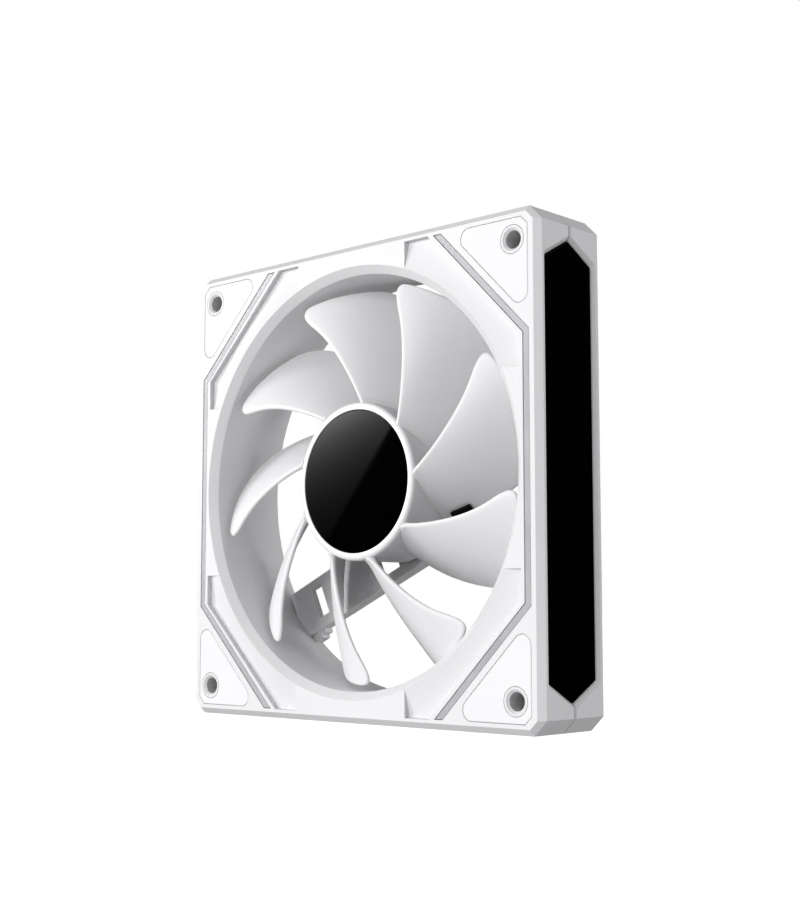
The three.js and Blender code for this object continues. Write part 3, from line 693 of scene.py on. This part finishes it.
def seam_groove(sx):
    """The wider V where the two halves meet on a side face."""
    outer = FRAME_HALF + 0.1
    reach = FRAME_HALF - SEAM_VEE_SHORT
    mid = (SEAM_FRONT + SEAM_REAR) / 2
    section = [(outer, mid - SEAM_VEE - 0.1), (outer, mid + SEAM_VEE + 0.1),
               (outer - SEAM_VEE, mid + 0.1), (outer - SEAM_VEE, mid - 0.1)]
    return layered("seam_groove", [[(x * sx, depth, z) for x, depth in section]
                                   for z in (-reach, reach)])


def frame_block():
    return prism("block", [(square_outline(FRONT_BEVEL), 0), (square_outline(0), FRONT_BEVEL),
                           (square_outline(0), FRAME_DEPTH - REAR_BEVEL),
                           (square_outline(REAR_BEVEL), FRAME_DEPTH)])


def front_shell():
    """The intake half, with a tongue that closes the seam behind its outer groove."""
    shell = frame_block()
    combined(shell, [box("half", -WIDE, WIDE, -BEYOND, SEAM_FRONT, -WIDE, WIDE)], "INTERSECT")
    tongue = square_outline(TONGUE_INSET)
    joined(shell, [prism("tongue", [(tongue, SEAM_FRONT - TONGUE_OVERLAP),
                                    (tongue, SEAM_REAR - TONGUE_SHORT)])])
    tools = [duct_cutter()]
    for _, sx, sz in CORNERS:
        tools += corner_cutters(sx, sz, False)
        bore = SCREW_R + GAP
        tools.append(turned("pilot", [(0, PILOT_FROM), (bore, PILOT_FROM),
                                      (bore, PILOT_TO), (0, PILOT_TO)],
                            SMALL_STEPS, SCREW_PLACE * sx, SCREW_PLACE * sz))
    for _, sx in SIDES:
        groove = strip_outline(0, sx)
        tools.append(prism("groove", [(offset_outline(groove, 0.6), -0.6),
                                      (offset_outline(groove, 0.07), 0), (groove, 0.08),
                                      (groove, STRIP_GROOVE_DEPTH)]))
        tools += [side_recess(sx), seam_groove(sx)]
    shell.name = "front_shell"
    return smooth(cut(shell, tools))


def motor_base():
    """The motor's round seat with three plain struts, the wide channel strut and its teeth."""
    rim, round_off = 0.5, 0.15
    base = turned("motor_base", [
        (0, MOTOR_BASE_FRONT), (MOTOR_BASE_R - rim, MOTOR_BASE_FRONT),
        (MOTOR_BASE_R - round_off, MOTOR_BASE_FRONT + round_off),
        (MOTOR_BASE_R, MOTOR_BASE_FRONT + rim), (MOTOR_BASE_R, MOTOR_BASE_REAR - rim),
        (MOTOR_BASE_R - round_off, MOTOR_BASE_REAR - round_off),
        (MOTOR_BASE_R - rim, MOTOR_BASE_REAR), (0, MOTOR_BASE_REAR)])
    reach = math.sqrt((DUCT_EXIT_R + STRUT_INTO_RING) ** 2 - STRUT_OUTER_EDGE ** 2)
    parts = []
    for quarter in (1, 2, 3):
        parts.append(bar("strut", quarter, (0, reach), (STRUT_INNER_EDGE, STRUT_OUTER_EDGE),
                         (MOTOR_BASE_FRONT + 0.3, MOTOR_BASE_REAR), STRUT_EDGE))
    parts.append(bar("channel", 0, (0, reach), (CHANNEL_INNER_EDGE, STRUT_OUTER_EDGE),
                     (MOTOR_BASE_FRONT, MOTOR_BASE_REAR), CHANNEL_EDGE))
    for step in (0, 1):
        parts.append(bar("tooth", 0, (TOOTH_FROM + step * 1.6, TOOTH_TO + step * 0.4),
                         (STRUT_OUTER_EDGE - 1, STRUT_OUTER_EDGE + 1.2 + step),
                         (MOTOR_BASE_FRONT + 1, MOTOR_BASE_REAR), TOOTH_EDGE))
    return joined(base, parts)


def motor_base_cutters():
    """The seats of tube and cover, and the channel's trench, window and cable slot."""
    low = CHANNEL_INNER_EDGE + CHANNEL_WALL
    high = STRUT_OUTER_EDGE - CHANNEL_WALL
    floor = MOTOR_BASE_FRONT + CHANNEL_FLOOR
    behind = FRAME_DEPTH + BEYOND
    ahead = MOTOR_BASE_FRONT - BEYOND
    well = MOTOR_BASE_REAR - COVER_WELL_DEPTH
    return [
        turned("tube_seat", [(0, TUBE_SEAT_FRONT), (TUBE_SEAT_R, TUBE_SEAT_FRONT),
                             (TUBE_SEAT_R, TUBE_SEAT_REAR), (0, TUBE_SEAT_REAR)], SMALL_STEPS),
        turned("cover_well", [(0, well), (COVER_WELL_R, well),
                              (COVER_WELL_R, MOTOR_BASE_REAR - 0.1),
                              (COVER_WELL_R + 0.1, MOTOR_BASE_REAR), (COVER_WELL_R + 1.3, behind),
                              (0, behind)]),
        bar("trench", 0, (TRENCH_FROM, TRENCH_END), (low, high), (floor, behind)),
        bar("window", 0, (WINDOW_FROM, WINDOW_TO), (low + WINDOW_MARGIN, high - WINDOW_MARGIN),
            (ahead, floor + BEYOND)),
        bar("slot", 0, (SLOT_FROM, SLOT_TO), (SLOT_LOW, SLOT_HIGH), (ahead, behind)),
    ]


def rear_shell():
    """The outlet half, with the motor base, its struts and the cable channel."""
    shell = frame_block()
    combined(shell, [box("half", -WIDE, WIDE, SEAM_REAR, FRAME_DEPTH + BEYOND, -WIDE, WIDE)],
             "INTERSECT")
    tools = [duct_cutter()]
    for _, sx, sz in CORNERS:
        tools += corner_cutters(sx, sz, True)
        bore, wide = SCREW_R + GAP, SCREW_HEAD_R + GAP
        tools.append(turned("well", [(0, SCREW_WELL_FROM), (bore, SCREW_WELL_FROM),
                                     (bore, SCREW_SEAT), (wide, SCREW_SEAT),
                                     (wide, SCREW_WELL_RIM), (wide + 0.2, FRAME_DEPTH),
                                     (wide + 1.2, FRAME_DEPTH + BEYOND), (0, FRAME_DEPTH + BEYOND)],
                            SMALL_STEPS, SCREW_PLACE * sx, SCREW_PLACE * sz))
    for _, sx in SIDES:
        tools += [side_recess(sx), seam_groove(sx)]
    cut(shell, tools)
    joined(shell, [motor_base()])
    shell.name = "rear_shell"
    return smooth(cut(shell, motor_base_cutters()))


finished(front_shell(), white_frame, "frame", "white_frame", "front_frame")
finished(rear_shell(), white_frame, "frame", "white_frame", "rear_frame")

# ---------------------------------------------------------------- pieces on the frame


def corner_pad(name, sx, sz, rear):
    """A thin pad in its recess, open round the screw boss."""
    side = turn_over if rear else (lambda depth: depth)
    pad = prism(name, [(pad_outline(FINE_GAP + PAD_EDGE, sx, sz), side(0)),
                       (pad_outline(FINE_GAP, sx, sz), side(PAD_EDGE)),
                       (pad_outline(FINE_GAP, sx, sz), side(PAD_THICKNESS))])
    r = MOUNT_BOSS_R + FINE_GAP
    ring = turned("ring", [(0, side(-1)), (r + 1, side(-1)), (r + 0.1, side(0)), (r, side(0.1)),
                           (r, side(3)), (0, side(3))],
                  SMALL_STEPS, MOUNT_PLACE * sx, MOUNT_PLACE * sz)
    return smooth(cut(pad, [ring]))


for label, sx, sz in CORNERS:
    finished(corner_pad("front_rubber_" + label, sx, sz, False), white_pad, "frame", "white_pad",
             "front_pad_" + label)
    finished(corner_pad("rear_rubber_" + label, sx, sz, True), white_pad, "frame", "white_pad",
             "rear_pad_" + label)


def light_bracket(name, sx):
    bracket = strip_outline(FINE_GAP, sx)
    rear = STRIP_FRONT + STRIP_THICKNESS
    return smooth(prism(name, [(offset_outline(bracket, -0.16), STRIP_FRONT),
                               (offset_outline(bracket, -0.05), STRIP_FRONT + 0.05),
                               (bracket, STRIP_FRONT + 0.18), (bracket, rear)]))


def side_panel(name, sx):
    inset = SIDE_BEVEL + GAP
    return smooth(side_slab(name, sx, [(MIRROR_INNER, inset), (MIRROR_OUTER - 0.1, inset),
                                       (MIRROR_OUTER, inset + 0.1)]))


for label, sx in SIDES:
    finished(light_bracket("light_bracket_" + label, sx), milky, "frame", "diffuser",
             "light_strip_" + label)
    finished(side_panel("mirror_panel_" + label, sx), black_mirror, "frame", "black_mirror",
             "side_mirror_" + label)


def rear_cap():
    """The motor's rear cover: a thin round plate with a shallow seat for a label."""
    r, rear, edge = REAR_CAP_R, MOTOR_BASE_REAR, 0.12
    front = rear - REAR_CAP_THICKNESS
    seat = rear - LABEL_SEAT_DEPTH
    return smooth(turned("rear_cap", [
        (0, front), (r, front), (r, rear - edge), (r - edge, rear), (LABEL_SEAT_RIM_R, rear),
        (LABEL_SEAT_R, seat), (0, seat)]))


finished(rear_cap(), white_pad, "frame", "white_pad", "motor_cover")

# ---------------------------------------------------------------- fan wheel


def polynomial(coefficients, span):
    return sum(c * span ** power for power, c in enumerate(coefficients))


def blade_point(r, chord):
    """A point of the blade's middle surface; chord runs from 0 at the leading edge to 1."""
    span = (r - HUB_R) / BLADE_SPAN
    leading = polynomial(LEADING_ANGLE, span)
    angle = math.radians(leading + (polynomial(TRAILING_ANGLE, span) - leading) * chord)
    front = polynomial(LEADING_DEPTH, span)
    bow = polynomial(CHORD_BOW, span)
    depth = front + (polynomial(TRAILING_DEPTH, span) - front - bow) * chord + bow * chord ** 2
    return Vector((r * math.cos(angle), depth, r * math.sin(angle)))


def blade_half_thickness(chord, r):
    """Rounded at the nose, tail and tip, thinner towards the tail and swollen at the root."""
    along = min(1, chord / BLADE_NOSE_SHARE)
    nose = math.sqrt(along * (2 - along))
    tail = math.sqrt(min(1, (1 - chord) / BLADE_TAIL_ROUND_SHARE))
    body = 1 - (1 - BLADE_TAIL_SHARE) * chord
    root = 1 + BLADE_ROOT_SWELL * math.exp(-max(0.0, r - HUB_R) / BLADE_ROOT_FADE)
    into = max(0.0, (r - (BLADE_TIP_R - BLADE_TIP_ROUND)) / BLADE_TIP_ROUND)
    tip = math.sqrt(max(0.3, 1 - into * into))
    return BLADE_HALF_THICKNESS * max(0.06, min(nose, tail)) * body * root * tip


def tip_corner_loss(r):
    """The share of the chord that each rounded tip corner takes off at a radius."""
    into = max(0.0, r - (BLADE_TIP_R - BLADE_CORNER_R))
    inward = BLADE_CORNER_R - math.sqrt(max(0.0, BLADE_CORNER_R ** 2 - into ** 2))
    return inward / BLADE_TIP_CHORD


def blade_section(r):
    """The loop round the blade at a radius, out along one face and back along the other."""
    loss = tip_corner_loss(r)
    step = 1e-3

    def side(share, sign):
        chord = loss + (1 - 2 * loss) * share
        back = blade_point(r, chord + step) - blade_point(r, chord - step)
        out = blade_point(r + step, chord) - blade_point(r - step, chord)
        normal = back.cross(out).normalized()
        return blade_point(r, chord) + normal * (sign * blade_half_thickness(share, r))

    shares = [(1 - math.cos(math.pi * j / CHORD_STEPS)) / 2 for j in range(CHORD_STEPS + 1)]
    return [side(s, 1) for s in shares] + [side(s, -1) for s in reversed(shares)]


def blade_radii():
    """Where the blade is cut into sections: close at the root and round the tip corners."""
    straight = BLADE_TIP_R - BLADE_CORNER_R
    radii = list(BLADE_ROOT_RADII)
    radii += [BLADE_PLAIN_R + (straight - BLADE_PLAIN_R) * i / SPAN_STEPS
              for i in range(SPAN_STEPS + 1)]
    radii += [straight + BLADE_CORNER_R * math.sin(math.radians(90 * i / TIP_STEPS))
              for i in range(1, TIP_STEPS + 1)]
    return radii


def blades():
    """All nine blades in one mesh."""
    sections = [blade_section(r) for r in blade_radii()]
    count = len(sections[0])
    points, faces = [], []
    for number in range(BLADE_COUNT):
        angle = math.radians(360 / BLADE_COUNT * number)
        c, s = math.cos(angle), math.sin(angle)
        start = len(points)
        for section in sections:
            points += [(p.x * c - p.z * s, p.y, p.x * s + p.z * c) for p in section]
        last = len(points) - count
        faces.append(list(range(start, start + count)))
        faces.append(list(range(last, last + count)))
        for layer in range(len(sections) - 1):
            for i in range(count):
                a = start + layer * count + i
                b = start + layer * count + (i + 1) % count
                faces.append([a, b, b + count, a + count])
    return solid("blades", points, faces)


def fan_wheel():
    """The hub cup, with a seat for the black disc, and its nine blades."""
    inner = HUB_R - HUB_WALL
    seat = CAP_R + FINE_GAP
    floor = CAP_REAR
    inside = floor + HUB_FACE_WALL
    lip, edge = HUB_SEAT_EDGE, HUB_EDGE
    profile = [(0, floor), (seat, floor), (seat, HUB_FRONT + lip)]
    for step in range(1, 5):
        angle = math.radians(22.5 * step)
        profile.append((seat + lip - lip * math.cos(angle),
                        HUB_FRONT + lip - lip * math.sin(angle)))
    for step in range(9):
        angle = math.radians(11.25 * step)
        profile.append((HUB_R - edge + edge * math.sin(angle),
                        HUB_FRONT + edge - edge * math.cos(angle)))
    profile += [(HUB_R, HUB_REAR - 0.2), (HUB_R - 0.2, HUB_REAR), (inner, HUB_REAR),
                (inner, inside), (0, inside)]
    wheel = turned("fan_wheel", profile)
    return smooth(joined(wheel, [blades()]), 32)


def hub_disc():
    """The gloss-black disc set into the hub; its second ring keeps the shading of the face flat."""
    return smooth(turned("hub_disc", [
        (0, CAP_FRONT), (CAP_R - 0.16, CAP_FRONT), (CAP_R - 0.12, CAP_FRONT),
        (CAP_R - 0.04, CAP_FRONT + 0.03), (CAP_R, CAP_FRONT + 0.12), (CAP_R, CAP_REAR - 0.05),
        (0, CAP_REAR - 0.05)]))


finished(fan_wheel(), white_blade, "rotor", "white_blade", "impeller")
finished(hub_disc(), black_mirror, "rotor", "black_mirror", "hub_cap")

# ---------------------------------------------------------------- studio


FLOOR_REACH = 6.0
FLOOR_GLOW = 0.97
AMBIENT = 0.55
GLOSSY_AMBIENT = 0.02
CARD_AHEAD = 0.5
# The card's corners: x, and height over the fan's axis.
CARD_CORNERS = [(-0.462, 0.0955), (-0.60, -0.0713), (-0.80, -0.07), (-0.80, 0.30), (-0.2932, 0.30)]
CARD_LIMIT = 9.0
# The card's ln(radiance) is CARD_SLOPE . (x, y, z) + CARD_OFFSET, in metres in the row frame.
CARD_SLOPE = (-10.8, 0, 34.1)
CARD_OFFSET = math.log(0.226 / 0.049) - 10.8 * 0.522 - 34.1 * (AXIS_Z + 0.102)
# Each light: name, place, width and height in metres, watts, seen in reflections.
LIGHTS = [("front", (0.0, -1.3, 0.16), (0.9, 0.9), 8.4, True),
          ("front_left", (-1.1, -0.9, 0.3), (0.6, 0.6), 6.8, False),
          ("right", (1.2, 0.45, 0.3), (0.7, 0.7), 4.6, False),
          ("back", (-0.3, 1.0, 0.8), (0.7, 0.7), 2.0, False)]
GAMMA = 0.60


def flat_piece(name, corners):
    """A single flat face, staged so that it is not part of the object."""
    mesh = bpy.data.meshes.new(name)
    mesh.from_pydata(corners, [], [list(range(len(corners)))])
    piece = bpy.data.objects.new(name, mesh)
    bpy.context.scene.collection.objects.link(piece)
    return piece


def floor():
    """White paper under the fan, bright enough to read as the photo's plain ground."""
    reach = FLOOR_REACH
    piece = flat_piece("floor", [(-reach, -reach, 0), (reach, -reach, 0), (reach, reach, 0),
                                 (-reach, reach, 0)])
    material, shader = new_material("floor_paper", (0.20, 0.20, 0.20), 0.9)
    shader.inputs["Specular IOR Level"].default_value = 0.0
    shader.inputs["Emission Color"].default_value = (1, 1, 1, 1)
    shader.inputs["Emission Strength"].default_value = FLOOR_GLOW
    piece.data.materials.append(material)
    piece.visible_diffuse = False
    piece.visible_glossy = False
    piece.visible_shadow = False
    piece.location.z = -0.0002


def area_light(name, place_at, size, power, glossy):
    """A rectangular light aimed at the middle of the fan."""
    data = bpy.data.lights.new(name, "AREA")
    data.shape = "RECTANGLE"
    data.size, data.size_y = size
    data.energy = power
    light = bpy.data.objects.new(name, data)
    light.location = place_at
    direction = Vector((0, 0, AXIS_Z)) - Vector(place_at)
    light.rotation_euler = direction.to_track_quat("-Z", "Y").to_euler()
    light.visible_glossy = glossy
    light.visible_camera = False
    bpy.context.scene.collection.objects.link(light)


def world():
    """White to the camera, an even fill for surfaces and nearly dark in reflections."""
    made = bpy.data.worlds.new("studio")
    made.use_nodes = True
    tree = made.node_tree
    tree.nodes.clear()
    out = tree.nodes.new("ShaderNodeOutputWorld")
    mix = tree.nodes.new("ShaderNodeMixShader")
    path = tree.nodes.new("ShaderNodeLightPath")
    seen = tree.nodes.new("ShaderNodeBackground")
    seen.inputs["Color"].default_value = (1, 1, 1, 1)
    seen.inputs["Strength"].default_value = 1.0
    fill = tree.nodes.new("ShaderNodeMixShader")
    ambient = tree.nodes.new("ShaderNodeBackground")
    ambient.inputs["Color"].default_value = (1.0, 0.985, 1.0, 1)
    ambient.inputs["Strength"].default_value = AMBIENT
    dark = tree.nodes.new("ShaderNodeBackground")
    dark.inputs["Strength"].default_value = GLOSSY_AMBIENT
    tree.links.new(path.outputs["Is Glossy Ray"], fill.inputs[0])
    tree.links.new(ambient.outputs[0], fill.inputs[1])
    tree.links.new(dark.outputs[0], fill.inputs[2])
    tree.links.new(path.outputs["Is Camera Ray"], mix.inputs[0])
    tree.links.new(fill.outputs[0], mix.inputs[1])
    tree.links.new(seen.outputs[0], mix.inputs[2])
    tree.links.new(mix.outputs[0], out.inputs[0])
    bpy.context.scene.world = made


def hub_card():
    """A graded reflector ahead and to the left, seen only in the black hub disc."""
    card = flat_piece("hub_card", [(x, FRONT_Y - CARD_AHEAD, AXIS_Z + z) for x, z in CARD_CORNERS])
    material = bpy.data.materials.new("hub_card")
    material.use_nodes = True
    tree = material.node_tree
    tree.nodes.clear()
    out = tree.nodes.new("ShaderNodeOutputMaterial")
    glow = tree.nodes.new("ShaderNodeEmission")
    where = tree.nodes.new("ShaderNodeTexCoord")
    slope = tree.nodes.new("ShaderNodeVectorMath")
    slope.operation = "DOT_PRODUCT"
    slope.inputs[1].default_value = CARD_SLOPE
    shift = tree.nodes.new("ShaderNodeMath")
    shift.operation = "ADD"
    shift.inputs[1].default_value = CARD_OFFSET
    grow = tree.nodes.new("ShaderNodeMath")
    grow.operation = "EXPONENT"
    limit = tree.nodes.new("ShaderNodeMath")
    limit.operation = "MINIMUM"
    limit.inputs[1].default_value = CARD_LIMIT
    tree.links.new(where.outputs["Object"], slope.inputs[0])
    tree.links.new(slope.outputs["Value"], shift.inputs[0])
    tree.links.new(shift.outputs[0], grow.inputs[0])
    tree.links.new(grow.outputs[0], limit.inputs[0])
    tree.links.new(limit.outputs[0], glow.inputs["Strength"])
    tree.links.new(glow.outputs[0], out.inputs[0])
    card.data.materials.append(material)
    card.visible_camera = False
    card.visible_diffuse = False
    card.visible_shadow = False
    card.visible_transmission = False


floor()
world()
hub_card()
for light_name, light_place, light_size, watts, seen in LIGHTS:
    area_light(light_name, light_place, light_size, watts, seen)

scene = bpy.context.scene
scene.view_settings.view_transform = "Standard"
scene.view_settings.look = "None"
scene.view_settings.exposure = 0
scene.view_settings.gamma = GAMMA
